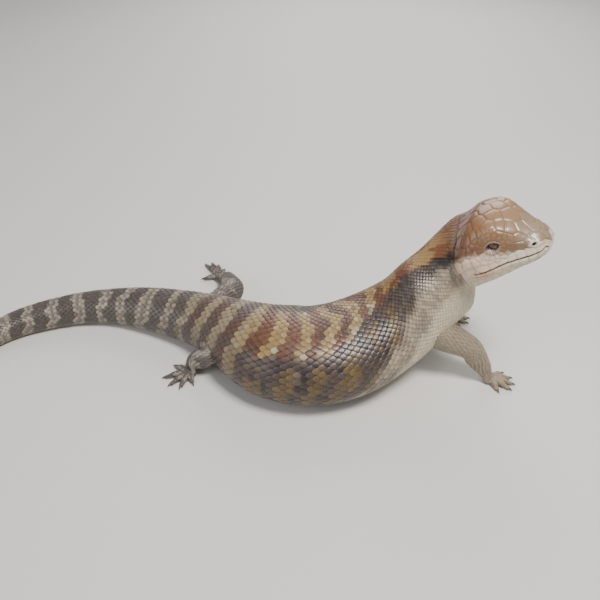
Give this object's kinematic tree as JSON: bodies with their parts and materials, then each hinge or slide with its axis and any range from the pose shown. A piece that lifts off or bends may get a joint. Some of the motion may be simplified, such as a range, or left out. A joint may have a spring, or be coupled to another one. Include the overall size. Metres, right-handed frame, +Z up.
{
  "type": "blue tongued skink figure",
  "caption": "Life-size still figure of a blue tongued skink, body bent, raised on its front legs with its head up and turned.",
  "frame": {"origin": "on the floor under the middle of the figure's box", "axes": "+X from the tail towards the head, +Z up"},
  "size_m": [0.4266, 0.1766, 0.1287],
  "materials": {
    "back_scales": "overlapping smooth scales, satin",
    "tail_scales": "overlapping smooth scales, satin",
    "head_shields": "large smooth shields, glossy",
    "leg_scales": "small scales, satin",
    "feet": "small scales with horn claws",
    "eyes": "wet gloss"
  },
  "bodies": {
    "root": {"tail_tip": "tail_scales", "tail_middle": "tail_scales", "tail_base": "tail_scales", "pelvis": "back_scales", "torso_rear": "back_scales", "torso_middle": "back_scales", "torso_front": "back_scales", "shoulders": "back_scales", "neck": "back_scales", "head": "head_shields", "eye_right": "eyes", "eye_left": "eyes", "front_right_upper_arm": "leg_scales", "front_right_forearm": "leg_scales", "front_right_hand": "feet", "front_left_upper_arm": "leg_scales", "front_left_forearm": "leg_scales", "front_left_hand": "feet", "hind_right_thigh": "leg_scales", "hind_right_shin": "leg_scales", "hind_right_foot": "feet", "hind_left_thigh": "leg_scales", "hind_left_shin": "leg_scales", "hind_left_foot": "feet"}
  },
  "joints": []
}
